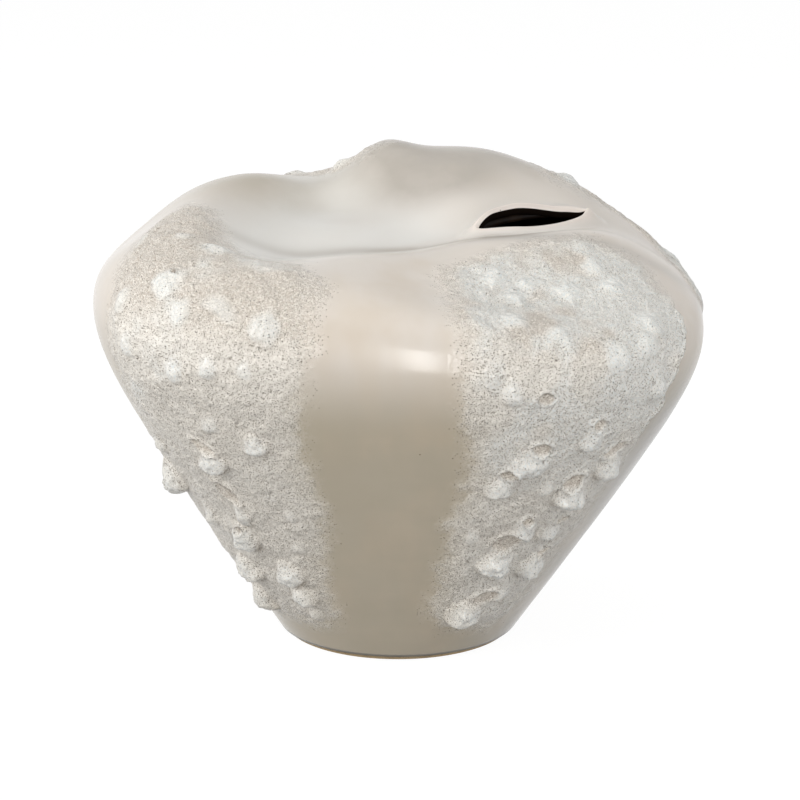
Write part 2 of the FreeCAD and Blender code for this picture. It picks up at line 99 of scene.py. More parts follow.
# Levels run from 0 at the foot to 1 at the seam of wall and top, and 2 at the mouth's collar.
# Each patch of foam: the seed of its noise, how frosty its grains are at its first and at its
# last side, and 1 where its last side ends in a crisp bead near the shoulder.
# Its edges: level, and the directions of its first and its last side there in degrees.
# Its lumps: direction, level, half width, half height and rise in millimetres, share of frost.
# Its craters: direction, level, half width and half height in millimetres, lean in degrees.
patches = {
    "front_left": {
        "seed": 11,
        "frost": (0.3, 0.12),
        "crisp": 0,
        "edges": [
            (0.09, -150, -118), (0.16, -161, -114), (0.3, -165, -115), (0.5, -163, -110),
            (0.7, -156, -112), (0.9, -153, -110), (1.1, -154, -109), (1.3, -165, -112),
            (1.45, -180, -117), (1.55, -176, -132),
        ],
        "lumps": [
            (-155, 0.52, 9.5, 8, 6.5, 0.8), (-134, 0.655, 8.5, 5.5, 4.5, 0.9),
            (-122, 0.745, 7, 5, 3.6, 0.9), (-130.5, 0.79, 6, 4.5, 2.2, 0.6),
            (-136, 0.385, 8.5, 7.5, 5.5, 0.9), (-133, 0.47, 5.5, 6, 3, 0.6),
            (-144, 0.25, 9.5, 6.5, 5, 0.75), (-126.5, 0.275, 8.5, 6, 4.5, 0.85),
            (-124.5, 0.2, 8, 5, 4.5, 0.9), (-148, 0.13, 8, 7, 5.5, 0.8),
            (-123, 0.13, 5, 4, 2.2, 0.5), (-150, 0.66, 6, 5, 2.5, 0.5),
            (-147, 0.43, 5, 6, 2.5, 0.5), (-119, 0.5, 4, 4, 1.4, 0.2),
            (-120, 0.38, 4.5, 4, 1.4, 0.3), (-142.5, 1.24, 10.5, 9, 2.4, 0.8),
            (-135.5, 1.15, 6.5, 6, 1.8, 0.6), (-118.5, 1.145, 9, 7.5, 2.2, 0.8),
            (-128, 0.97, 6.5, 5, 1.8, 0.9), (-135, 0.945, 6, 5.5, 1.8, 0.9),
            (-121, 0.98, 5, 4, 1, 0.6), (-128.5, 1.2, 14, 4.5, 1.5, 0.55),
            (-150, 1.12, 6, 6, 1.6, 0.6), (-148.5, 1.47, 9, 7, 1.6, 0.65),
            (-157, 1.43, 5, 4, 1.2, 0.5), (-146, 0.98, 6, 5, 1.5, 0.7),
        ],
        "craters": [
            (-134.5, 0.715, 5.5, 2.6, -35), (-134.5, 0.555, 6.5, 3.2, -55),
            (-136, 0.43, 2.2, 1.6, 0), (-143.5, 1.3, 1.8, 1.1, 0),
        ],
    },
    "front_right": {
        "seed": 23,
        "frost": (0.65, 1.0),
        "crisp": 1,
        "edges": [
            (0.07, -68, -45), (0.15, -76, -39), (0.3, -75, -38), (0.5, -75, -36), (0.7, -73, -35),
            (0.9, -76, -32), (1.1, -76, -28), (1.3, -81, -27), (1.5, -90, -27), (1.7, -106, -31),
            (1.88, -97, -55),
        ],
        "lumps": [
            (-59.5, 0.345, 9.5, 7, 6, 1), (-65, 0.145, 10.5, 6, 6, 1),
            (-46.5, 0.58, 9.5, 6.5, 6, 1), (-40, 0.665, 8, 6, 5, 0.9),
            (-59.5, 0.715, 10, 7, 3.6, 0.85), (-65, 0.625, 8.5, 5.5, 3.2, 0.8),
            (-55, 0.46, 8, 6.5, 3, 0.8), (-46.5, 0.31, 9, 6, 4.8, 0.85),
            (-47, 0.445, 7.5, 4.5, 3, 0.7), (-48, 0.785, 7.5, 5.5, 3.4, 0.9),
            (-53.5, 0.22, 6, 5, 2.2, 0.5), (-36, 0.92, 6, 5, 3, 0.9), (-66.5, 0.95, 7, 6, 2.4, 0.8),
            (-54, 0.62, 5, 4, 1.8, 0.5), (-69, 0.45, 4.5, 4, 1.4, 0.4), (-86, 1.675, 9, 7, 2.2, 1),
            (-73.5, 1.65, 7, 6, 1.8, 1), (-59.5, 1.605, 10, 7, 1.8, 1), (-74.5, 1.57, 9, 8, 2.2, 1),
            (-69.5, 1.35, 10, 7, 1.8, 0.9), (-45.5, 1.6, 9, 7, 1.6, 1), (-37.5, 1.28, 9, 8, 2.2, 1),
            (-52.5, 1.71, 8, 6, 1.6, 0.9), (-46, 1.05, 9, 6, 2, 0.9), (-58, 1.22, 8, 6, 1.6, 0.8),
            (-39, 1.12, 7, 6, 2, 0.9),
        ],
        "craters": [
            (-58.5, 0.43, 6.5, 4, 25), (-59, 0.215, 6, 3.4, 30), (-48, 0.645, 5, 3.4, 35),
            (-41, 0.74, 5.5, 2.6, 40), (-58.5, 0.775, 4, 2.8, 0), (-64, 0.69, 3.6, 2.2, 10),
            (-55, 0.505, 2.2, 2.2, 0), (-45, 0.37, 3.4, 1.8, 40), (-47.5, 0.84, 3, 2.4, 20),
            (-60, 0.94, 3.4, 2.6, 10), (-45, 0.495, 3, 1.6, 30),
        ],
    },
    "back_right": {
        "seed": 37,
        "frost": (0.9, 0.4),
        "crisp": 0,
        "edges": [
            (0.08, 12, 56), (0.16, -2, 66), (0.3, -4, 68), (0.5, -2, 67), (0.7, -1, 65),
            (0.9, -3, 66), (1.1, -6, 68), (1.3, -9, 66), (1.5, 0, 64), (1.7, 23, 63),
            (1.88, 42, 61),
        ],
        "lumps": [
            (10, 0.3, 9, 6.5, 5, 0.9), (24, 0.42, 9.5, 7, 6, 1), (40, 0.3, 8.5, 6, 4.5, 0.9),
            (55, 0.45, 9, 6.5, 5, 0.9), (8, 0.58, 7.5, 5.5, 3.6, 0.8), (33, 0.62, 8.5, 6, 4.6, 0.9),
            (50, 0.7, 6.5, 5, 3, 0.8), (18, 0.78, 7.5, 6, 3.6, 0.8), (45, 0.14, 8, 5.5, 4.4, 0.8),
            (30, 0.2, 7, 5, 3.6, 0.7), (20, 1.15, 9, 6, 2.2, 0.9), (45, 1.25, 8, 7, 2, 0.9),
            (3, 1.05, 7, 6, 2, 0.8), (57, 0.95, 7, 5, 2, 0.8), (30, 0.95, 6, 5, 2, 0.7),
            (12, 1.4, 8, 6, 1.8, 0.9), (38, 1.5, 9, 6, 1.8, 0.9), (50, 1.72, 8, 6, 1.8, 1),
            (58, 0.24, 5, 4, 2, 0.5), (16, 0.2, 5, 4, 2, 0.5),
        ],
        "craters": [
            (10, 0.375, 5.5, 3, -20), (24.5, 0.5, 6, 3.6, 15), (40, 0.37, 4.5, 2.6, 30),
            (55, 0.53, 5, 3, -30), (33, 0.7, 4.5, 2.8, 20), (18, 0.85, 4, 2.4, 0),
            (45, 0.205, 4.5, 2.4, -15), (30, 1.06, 3, 2, 0),
        ],
    },
    "back_left": {
        "seed": 53,
        "frost": (0.4, 0.2),
        "crisp": 0,
        "edges": [
            (0.09, 126, 150), (0.16, 116, 160), (0.3, 113, 164), (0.5, 116, 165), (0.7, 118, 163),
            (0.9, 115, 152), (1.1, 111, 139), (1.3, 110, 132), (1.5, 111, 129), (1.68, 115, 126),
        ],
        "lumps": [
            (126, 0.3, 9, 6.5, 5, 0.9), (140, 0.42, 9.5, 7, 6, 1), (155, 0.32, 8.5, 6, 4.5, 0.9),
            (124, 0.6, 8.5, 6, 4.4, 0.9), (146, 0.64, 8, 5.5, 4, 0.8),
            (134, 0.76, 7.5, 5.5, 3.4, 0.8), (135, 0.18, 8, 5.5, 4.4, 0.8),
            (152, 0.82, 7, 5.5, 3, 0.8), (129, 1.15, 9, 6, 2.2, 0.9), (136, 1.02, 8, 6, 2, 0.9),
            (120, 0.92, 6, 5, 1.8, 0.7), (124, 1.4, 8, 6, 1.8, 0.8), (146, 0.92, 7, 5, 2, 0.8),
            (122, 1.58, 7, 6, 1.8, 0.9), (149, 0.2, 5, 4, 2, 0.5),
        ],
        "craters": [
            (126, 0.375, 5.5, 3, 20), (140.5, 0.5, 6, 3.6, -15), (155, 0.39, 4.5, 2.6, -30),
            (124, 0.68, 4.5, 2.8, 25), (146, 0.71, 4.5, 2.6, -20), (135, 0.25, 4.5, 2.4, 15),
            (118, 1.06, 3, 2, 0),
        ],
    },
}


def length(name, default, note):
    """Property for a length of the vase."""
    return FloatProperty(name=name, description=note, default=default, min=0,
                         subtype="DISTANCE", unit="LENGTH")


def share(name, default, note):
    """Property for a share from 0 to 1."""
    return FloatProperty(name=name, description=note, default=default, min=0, max=1, subtype="FACTOR")


def number(name, default, note):
    """Property for a plain number."""
    return FloatProperty(name=name, description=note, default=default)


def colour(name, default, note):
    """Property for a colour."""
    return FloatVectorProperty(name=name, description=note, default=default,
                               size=3, min=0, max=1, subtype="COLOR")


class VaseForm(PropertyGroup):
    """Sizes of the body and its mouth."""
    half_width: length("Half width", 0.1572, "Half of the clay body's width at its widest level")
    half_depth: length("Half depth", 0.1292, "Half of the clay body's depth at its widest level")
    plan_power: number("Plan power", 2.6, "2 gives an oval plan, more gives fuller corners")
    seam_height: length("Seam height", 0.1765, "Height of the widest level")
    seam_tilt: number("Seam tilt", 0.045, "Drop of the widest level to the right, as a share of the way")
    foot_radius: length("Foot radius", 0.054, "Radius of the foot on the table")
    foot_height: length("Foot height", 0.005, "Height at which the levels of the wall begin")
    glaze_line: length("Glaze line", 0.0024, "Height at which the satin coat ends above the table")
    flare_round: number("Flare round", 0.18, "How softly the wall turns into the widest level")
    flare_reach: number("Flare reach", 1.09, "How fast the wall opens from the foot")
    cap_height: length("Cap height", 0.0604, "Rise of the closed top above the widest level")
    cap_power: number("Cap power", 3.0, "Fullness of the closed top")
    fade_power: number("Fade power", 8.0, "How close to the widest level the forms of the top fade out")
    dish_depth: length("Dish depth", 0.020, "Depth of the dish")
    front_dish_depth: length("Front dish depth", 0.015, "Depth of the dish towards the front left")
    saddle_depth: length("Saddle depth", 0.009, "Depth of the saddle at the back left")
    valley_depth: length("Valley depth", 0.006, "Depth of the valley at the right")
    hollow_depth: length("Hollow depth", 0.018, "Depth of the hollow round the mouth")
    step_depth: length("Step depth", 0.0045, "Depth of the step between the back lobe and the mouth")
    peak_rise: length("Peak rise", 0.009, "Rise of the peak at the back")
    back_lobe_rise: length("Back lobe rise", 0.013, "Rise of the lobe behind the mouth")
    front_slope_drop: length("Front slope drop", 0.027, "Drop of the slope at the front right")
    right_drop: length("Right drop", 0.007, "Drop of the right shoulder")
    left_drop: length("Left drop", 0.014, "Drop of the left shoulder")
    mouth_x: share("Mouth across", 0.445, "Place of the mouth as a share of the half width")
    mouth_y: share("Mouth along", 0.07, "Place of the mouth as a share of the half depth")
    mouth_half_length: length("Mouth half length", 0.0335, "Half of the slit's length")
    mouth_half_gap: length("Mouth half gap", 0.0065, "Half of the slit's widest gap")
    mouth_turn: number("Mouth turn", 31.0, "Direction of the slit in degrees")
    mouth_point: share("Mouth point", 0.6, "Lower values draw the slit's ends to finer points")
    collar_width: length("Collar width", 0.014, "Width of the pinched collar round the slit")
    lip_thickness: length("Lip thickness", 0.004, "Thickness of the clay at the lips")
    front_lip_rise: length("Front lip rise", 0.0025, "Rise of the front lip")
    back_lip_rise: length("Back lip rise", 0.0065, "Rise of the back lip")
    nub_rise: length("Nub rise", 0.0025, "Rise of the nub where the lips meet on the right")
    nub_spread: number("Nub spread", 18.0, "Spread of the nub in degrees")
    lip_lift: length("Lip lift", 0.0024, "How far the coat builds up the front lip and the back left one")
    rim_roll: length("Rim roll", 0.0006, "Height of the rolled rim of the lips")
    rim_groove: length("Rim groove", 0.0007, "Depth of the groove behind that rim")
    ridge_rise: length("Ridge rise", 0.0014, "Height of the ridge at the right end of the back lip")
    coat: length("Satin coat", 0.0008, "How far the satin coat stands off the clay")
    wave: length("Hand wave", 0.0006, "Height of the slow unevenness of the hand-built wall")
    wave_size: length("Hand wave size", 0.045, "Width of that unevenness")
    swelling: length("Swelling", 0.0021, "Height of the soft swelling of the front shoulder")
    swelling_radius: length("Swelling radius", 0.042, "Radius of that swelling")
    swelling_place: FloatVectorProperty(
        name="Swelling place", size=2, default=(0.095, 1.05),
        description="Its place as shares of the half width and the seam's height")


class SatinGlaze(PropertyGroup):
    """Colours and gloss of the smooth satin coat."""
    upper: colour("Shoulder", (0.71, 0.65, 0.585), "Colour of the coat on the shoulder")
    # Faint: painted shade on the top's slopes and a painted shadow line along the front crest
    faint: colour("Faint", (0.43, 0.392, 0.345), "Colour where the coat lies thin over the clay")
    ochre: colour("Ochre", (0.41, 0.355, 0.265), "Colour of the thin coat on the lobe at the left")
    # Grey: painted shade below the right shoulder, and on the foam of the lower wall
    grey: colour("Grey", (0.40, 0.375, 0.34), "Colour of the coat below the right shoulder")
    # The wall colour is darker than the shoulder's: painted shade on the wall that faces down, with a
    # warmer tan of its own
    lower: colour("Wall", (0.475, 0.415, 0.315), "Colour of the thinner coat on the lower wall")
    # Pooled: paler pooled glaze, and a painted reflection of the bright sky in the top's hollows
    pooled_and_sheen: colour("Pooled", (0.775, 0.76, 0.72), "Colour where the glaze lies thick in the hollows")
    thin: colour("Thin", (0.60, 0.49, 0.36), "Colour where the glaze runs thin over edges")
    lip: colour("Lip", (0.82, 0.73, 0.665), "Colour of the lips")
    # Inner: near-black without reflection, painted shade inside the slit
    inner: colour("Inner", (0.006, 0.004, 0.003), "Colour of the dark glaze inside the slit")
    pinhole: colour("Pinhole", (0.12, 0.08, 0.05), "Colour of the few pinholes")
    roughness: share("Roughness", 0.19, "Roughness of the coat")
    ripple: length("Ripple", 0.00002, "Depth of the faint level ripples")
    ripple_pitch: length("Ripple pitch", 0.0075, "Distance from one ripple to the next")


class FoamGlaze(PropertyGroup):
    """Relief and colours of the foamed glaze."""
    thickness: length("Thickness", 0.0013, "Thickness of the foam within a patch")
    film: length("Film", 0.00007, "Thickness of the clear film round a patch")
    sink: length("Sink", 0.0002, "How far the sheet dips below the satin coat at its border")
    grain_size: length("Grain size", 0.0018, "Width of the coarse grains of foam")
    grain_rise: length("Grain rise", 0.0003, "Height of the coarse grains")
    ragged: length("Ragged edge", 0.009, "How far the edge wanders in and out")
    bead: length("Bead", 0.001, "Height of the bead along a patch's crisp edge")
    corner: length("Corner", 0.006, "Rounding of a patch's corners")
    fade: length("Fading edge", 0.009, "Distance over which single grains thin out at the edge")
    crater_rim: length("Crater rim", 0.0011, "Height of the rim round a burst blister")
    crater_scale: number("Crater scale", 1.25, "Scale of the burst blisters")
    pit_radius: length("Pit radius", 0.0005, "Radius of the common pits")
    pit_depth: length("Pit depth", 0.0008, "Depth of the common pits")
    pit_rim: length("Pit rim", 0.00015, "Height of the rim round a pit")
    fine_size: length("Fine size", 0.0008, "Width of the finest grains")
    clot_size: length("Clot size", 0.0021, "Width of the pale and dark clots of foam")
    bubble_pitch: length("Bubble pitch", 0.0009, "Distance from one small bubble to the next")
    prick_pitch: length("Prick pitch", 0.0019, "Distance from one dark prick to the next")
    rows: IntProperty(name="Rows", description="Rows of faces along a patch", default=420, min=20)
    columns: IntProperty(name="Columns", description="Columns of faces across a patch", default=217, min=20)
    foam: colour("Foam", (0.95, 0.905, 0.83), "Colour of the foam")
    # Dark foam: the foam's darker clots, and painted shade in its bubbles and below its blisters
    dark_foam: colour("Dark foam", (0.30, 0.235, 0.165), "Colour in the bubbles of the foam")
    frost: colour("Frost", (0.83, 0.865, 0.865), "Colour of the smooth blisters")
    # The blisters on the top take this painted shade
    painted_shade_frost: colour("High frost", (0.52, 0.58, 0.59), "Colour that the blisters on the top tend to")
    crater: colour("Crater", (0.49, 0.42, 0.35), "Colour of the floors of burst blisters")
    pit: colour("Pit", (0.08, 0.05, 0.035), "Colour inside the pits")


class ClayFinish(PropertyGroup):
    """Colours of the bare clay and of the liner glaze."""
    clay: colour("Clay", (0.58, 0.43, 0.25), "Colour of the bare clay")
    speck: colour("Specks", (0.14, 0.08, 0.04), "Colour of the iron specks in the clay")
    # Liner: near-black, painted shade of the dark inside
    liner: colour("Liner", (0.007, 0.0045, 0.0035), "Colour of the liner glaze")
    speck_size: length("Speck size", 0.0009, "Distance between specks")


class StudioSet(PropertyGroup):
    """Floor, lamps and camera."""
    floor_radius: length("Floor radius", 8.0, "Radius of the round floor")
    camera_height: number("Camera height", 18.0, "Degrees by which the camera looks down")
    camera_distance: length("Camera distance", 1.5, "Distance from the camera to the vase")
    camera_aim: length("Aim height", 0.12, "Height at which the camera looks")
    lens: number("Lens", 128.07, "Focal length in millimetres")
    floor: colour("Floor", (0.95, 0.95, 0.945), "Colour of the floor as it is seen")
    bounce: share("Bounce", 0.26, "Lightness of the floor for the light that it gives back")
    air: share("Air", 0.29, "Strength of the light that comes from all round")
    glow: share("Glow", 0.88, "Share of plain white in the floor as it is seen")
    white: number("White", 1.07, "Strength of that plain white")
    overhead: number("Overhead lamp", 12.2, "Power of the overhead lamp in watts")
    left: number("Left lamp", 9.1, "Power of the lamp at the left in watts")
    right: number("Right lamp", 7.0, "Power of the lamp at the right in watts")
    front: number("Front lamp", 13.4, "Power of the soft lamp at the front left in watts")
    fill: number("Fill lamp", 2.2, "Power of the wide lamp in front in watts")
    strip: number("Strip lamp", 4.0, "Power of the tall narrow lamp at the front in watts")


class VaseBody:
    """The outer surface of the vase, worked out from its sizes."""

    def __init__(self, form):
        self.form = form
        self.tops = [(shares, getattr(form, name) * sign) for shares, name, sign in top_forms]

    def outline(self, angle, grow):
        """Radius of the plan at its widest level, for a layer that stands out by grow."""
        form = self.form
        across = np.abs(np.cos(angle) / form.half_width) ** form.plan_power
        along = np.abs(np.sin(angle) / form.half_depth) ** form.plan_power
        radius = (across + along) ** (-1 / form.plan_power)
        for direction, spread, part in swell_shares:
            gap = away_from(angle, direction)
            radius = radius * (1 + part * hump(gap, 0, math.radians(spread)))
        return radius + grow

    def wall(self, angle, level, grow, low):
        """Points of a wall layer, from level 0 at its low edge to level 1 at the seam."""
        form = self.form
        rim = self.outline(angle, grow)
        rim_height = form.seam_height - form.seam_tilt * rim * np.cos(angle)
        height = low + (rim_height - low) * level
        below = form.flare_reach * (1 - height / rim_height)
        flare = 1 + form.flare_round - np.hypot(form.flare_round, below)
        inner = form.foot_radius + grow
        radius = inner + (rim - inner) * flare
        return np.stack([radius * np.cos(angle), radius * np.sin(angle), height], -1)

    def top_height(self, x, y, grow):
        """Height of a layer of the top above a place in the plan."""
        form = self.form
        reach = np.minimum(np.hypot(x, y) / self.outline(np.arctan2(y, x), grow), 1)
        height = form.seam_height - form.seam_tilt * x
        height = height + (form.cap_height + grow) * np.sqrt(1 - reach ** form.cap_power)
        fade = 1 - reach ** form.fade_power
        for shares, rise in self.tops:
            height = height + rise * fade * self.unit_form(x, y, shares)
        return height

    def unit_form(self, x, y, shares):
        """Unit height of a form that is pressed into or out of the top."""
        middle_x, middle_y, reach_x, reach_y, turn, sharpness = shares
        wide, deep = self.form.half_width, self.form.half_depth
        cosine, sine = math.cos(math.radians(turn)), math.sin(math.radians(turn))
        dx, dy = x - middle_x * wide, y - middle_y * deep
        across = (dx * cosine + dy * sine) / (reach_x * wide)
        along = (dy * cosine - dx * sine) / (reach_y * deep)
        return np.exp(-((across ** 2 + along ** 2) ** sharpness))

    def slit(self, angle, spread):
        """Place in the plan on the mouth's outline, let out by spread."""
        form = self.form
        sine = np.sin(angle)
        along = (form.mouth_half_length + spread) * np.cos(angle)
        gap = form.mouth_half_gap * (form.mouth_point + (1 - form.mouth_point) * sine ** 2)
        across = (gap + spread) * sine
        turn = math.radians(form.mouth_turn)
        x = form.mouth_x * form.half_width + along * math.cos(turn) - across * math.sin(turn)
        y = form.mouth_y * form.half_depth + along * math.sin(turn) + across * math.cos(turn)
        return x, y

    def top(self, angle, level, grow):
        """Points of a layer of the top, from level 0 at the seam to level 1 at the collar."""
        near_x, near_y = self.slit(angle, self.form.collar_width)
        rim = self.outline(angle, grow)
        reach = np.cos(level * math.pi / 2)
        x = near_x + (rim * np.cos(angle) - near_x) * reach
        y = near_y + (rim * np.sin(angle) - near_y) * reach
        return np.stack([x, y, self.top_height(x, y, grow)], -1)

    def skin(self, angle, level, grow):
        """Points on the wall, up to level 1, and on the top, up to level 2."""
        wall = self.wall(angle, np.minimum(level, 1), grow, self.form.foot_height)
        top = self.top(angle, np.maximum(level - 1, 0), grow)
        return np.where((level <= 1)[..., None], wall, top)

    def wavy(self, points):
        """Height of the hand-built unevenness at points of the surface."""
        form = self.form
        middle = np.array([form.swelling_place[0] * form.half_width, -form.half_depth,
                           form.swelling_place[1] * form.seam_height])
        away = np.linalg.norm(points - middle, axis=-1)
        swelling = form.swelling * hump(away, 0, form.swelling_radius)
        return noise(points, form.wave_size, 5, 2) * form.wave + swelling

    def coat_skin(self, angle, level):
        """Points of the satin coat's outer surface."""
        grow = self.form.coat + self.wavy(self.skin(angle, level, self.form.coat))
        return self.skin(angle, level, grow)

    def collar(self, angle, part, lift, grow):
        """Points over the collar, from 0 at its outer edge to 1 at the mouth."""
        form = self.form
        far_x, far_y = self.slit(angle, form.collar_width)
        near_x, near_y = self.slit(angle, 0)
        x = far_x + (near_x - far_x) * part
        y = far_y + (near_y - far_y) * part
        ease = part ** 2 * (3 - 2 * part)
        swing = (form.back_lip_rise - form.front_lip_rise) / 2
        rise = (form.back_lip_rise + form.front_lip_rise) / 2 + swing * np.sin(angle)
        rise = rise + form.nub_rise * hump(away_from(angle, 0), 0, math.radians(form.nub_spread))
        height = self.top_height(x, y, grow) - grow + rise * ease + lift + self.rim(angle, part)
        return np.stack([x, y, height], -1)

    def rim(self, angle, part):
        """Height of the lips' rolled rim, of the groove and ridge behind it, and of the built-up coat."""
        form = self.form
        direction = np.degrees(away_from(angle, 0))
        back = 0.5 + 0.5 * np.sin(angle)
        roll = form.rim_roll * hump(part, 0.88, 0.09) * (0.35 + 0.65 * back)
        groove = form.rim_groove * hump(part, 0.62, 0.15) * back
        ridge = form.ridge_rise * between(direction, 2, 12, 38, 80) * hump(part, 0.7, 0.11)
        front, back_left = between(direction, -165, -110, -14, 6), between(direction, 50, 105, 128, 176)
        lift = form.lip_lift * (front + 1.9 * back_left) * smooth(part, 0.35, 0.9)
        return roll - groove + ridge + lift


def smooth(value, low, high):
    """Share of the way from low to high, eased at both ends; it falls where low is the larger."""
    part = np.clip((value - low) / (high - low), 0, 1)
    return part * part * (3 - 2 * part)


def between(value, start, full, ebb, end):
    """1 from full to ebb, and eased down to 0 at start and at end."""
    return smooth(value, start, full) * (1 - smooth(value, ebb, end))


def hump(value, middle, spread):
    """Bell curve of height 1 round a middle."""
    return np.exp(-((value - middle) / spread) ** 2)


def away_from(angle, direction):
    """How far an angle is from a direction in degrees, in radians up to half a turn either way."""
    return np.angle(np.exp(1j * (angle - math.radians(direction))))


def scattered(cells, seed):
    """Even random number from 0 to 1 for each cell of a lattice."""
    largest = 0xFFFFFFFF
    mixed = seed * 7919
    for axis, prime in enumerate((73856093, 19349663, 83492791)):
        mixed = mixed ^ (cells[..., axis].astype(np.int64) * prime)
    mixed = (mixed & largest).astype(np.uint64)
    for turn in (2246822519, 3266489917):
        mixed = ((mixed ^ (mixed >> np.uint64(15))) * np.uint64(turn)) & np.uint64(largest)
    return (mixed ^ (mixed >> np.uint64(16))).astype(float) / largest


def noise(points, size, seed, octaves=1):
    """Smooth noise from 0 to 1 with lumps of a size, and finer ones for more octaves."""
    total, weight = 0, 0
    for octave in range(octaves):
        scaled = points / size * 2 ** octave + 31.7 * octave + seed
        base = np.floor(scaled)
        part = scaled - base
        ease = part ** 3 * (part * (part * 6 - 15) + 10)
        value = 0
        for corner in product((0, 1), repeat=3):
            weights = np.prod(np.where(corner, ease, 1 - ease), axis=-1)
            value = value + weights * scattered(base + corner, seed + octave)
        total = total + value * 0.5 ** octave
        weight = weight + 0.5 ** octave
    return total / weight


def uneven(points, size, seed):
    """Noise from -0.5 to 0.5, with lumps of a size and of half of it."""
    return noise(points, size, seed, octaves=2) - 0.5


def pit_field(points, spacing, radius, spread, chance, seed):
    """Distance from the nearest strewn pit, as a share of its radius."""
    scaled = points / spacing
    base = np.floor(scaled)
    nearest = np.full(points.shape[:-1], 9.0)
    for offset in product((-1, 0, 1), repeat=3):
        cell = base + offset
        centre = cell + np.stack([scattered(cell, seed + axis) for axis in (1, 2, 3)], -1)
        draw = scattered(cell, seed + 4)
        size = radius * (1 + spread * scattered(cell, seed + 5) ** 2)
        away = np.linalg.norm(scaled - centre, axis=-1) * spacing / size
        nearest = np.where(draw < chance, np.minimum(nearest, away), nearest)
    return nearest


def edge_directions(edges, level):
    """Directions of a patch's two edges at a level, smoothly between its stations."""
    last = len(edges) - 2
    level = min(max(level, edges[0][0]), edges[-1][0])
    index = max(i for i in range(last + 1) if i == 0 or edges[i][0] <= level)
    before, start = edges[max(index - 1, 0)], edges[index]
    end, after = edges[index + 1], edges[min(index + 2, last + 1)]
    t = (level - start[0]) / (end[0] - start[0])
    found = []
    for column in (1, 2):
        lean_in = (end[column] - before[column]) / (end[0] - before[0]) * (end[0] - start[0])
        lean_out = (after[column] - start[column]) / (after[0] - start[0]) * (end[0] - start[0])
        value = (2 * t ** 3 - 3 * t ** 2 + 1) * start[column] + (3 * t ** 2 - 2 * t ** 3) * end[column]
        value = value + (t ** 3 - 2 * t ** 2 + t) * lean_in + (t ** 3 - t ** 2) * lean_out
        found.append(math.radians(value))
    return found


def stretches(body, angle, level):
    """Vectors along which a place of the surface moves with its direction and its level."""
    step = 0.002
    grow = body.form.coat
    across = (body.skin(angle + step, level, grow) - body.skin(angle - step, level, grow)) / (2 * step)
    upward = (body.skin(angle, level + step, grow) - body.skin(angle, level - step, grow)) / (2 * step)
    return across, upward


def unit(vectors):
    """Vectors of the same directions and of length 1."""
    return vectors / np.linalg.norm(vectors, axis=-1, keepdims=True)


def sheet(name, front, back, coarse, closed_round, values):
    """Piece with a fine front, which carries the values, and a coarse back that shares its edges."""
    rows, columns = front.shape[:2]
    across = columns if closed_round else columns - 1
    index = np.arange(rows * columns).reshape(rows, columns)
    wrap = np.concatenate([index, index[:, :1]], 1) if closed_round else index
    quads = np.stack([wrap[:-1, :-1], wrap[:-1, 1:], wrap[1:, 1:], wrap[1:, :-1]], -1).reshape(-1, 4)
    points = list(front.reshape(-1, 3))
    behind = {}
    for i in range(coarse, rows - 1, coarse):
        start, stop = (0, columns) if closed_round else (coarse, columns - 1)
        for j in range(start, stop, coarse):
            behind[i, j] = len(points)
            points.append(back[i, j])
    faces = quads.tolist()
    for i in range(0, rows - 1, coarse):
        for j in range(0, across, coarse):
            below = [(i, j + step) for step in range(coarse if i == 0 else 1)]
            right_steps = range(coarse if not closed_round and j + coarse == across else 1)
            right = [(i + step, j + coarse) for step in right_steps]
            above_steps = range(coarse if i + coarse == rows - 1 else 1)
            above = [(i + coarse, j + coarse - step) for step in above_steps]
            left_steps = range(coarse if not closed_round and j == 0 else 1)
            left = [(i + coarse - step, j) for step in left_steps]
            ring = [(a, b % columns if closed_round else b) for a, b in below + right + above + left]
            ring = [behind.get(place, index[place]) for place in ring]
            faces.append([int(corner) for corner in reversed(ring)])
    mesh = bpy.data.meshes.new(name)
    mesh.from_pydata([tuple(point) for point in points], [], faces)
    mesh.shade_smooth()
    for attribute, field in values.items():
        padded = np.zeros(len(points), np.float32)
        padded[:rows * columns] = field.reshape(-1)
        mesh.attributes.new(attribute, "FLOAT", "POINT").data.foreach_set("value", padded)
    piece = bpy.data.objects.new(name, mesh)
    bpy.context.scene.collection.objects.link(piece)
    return piece


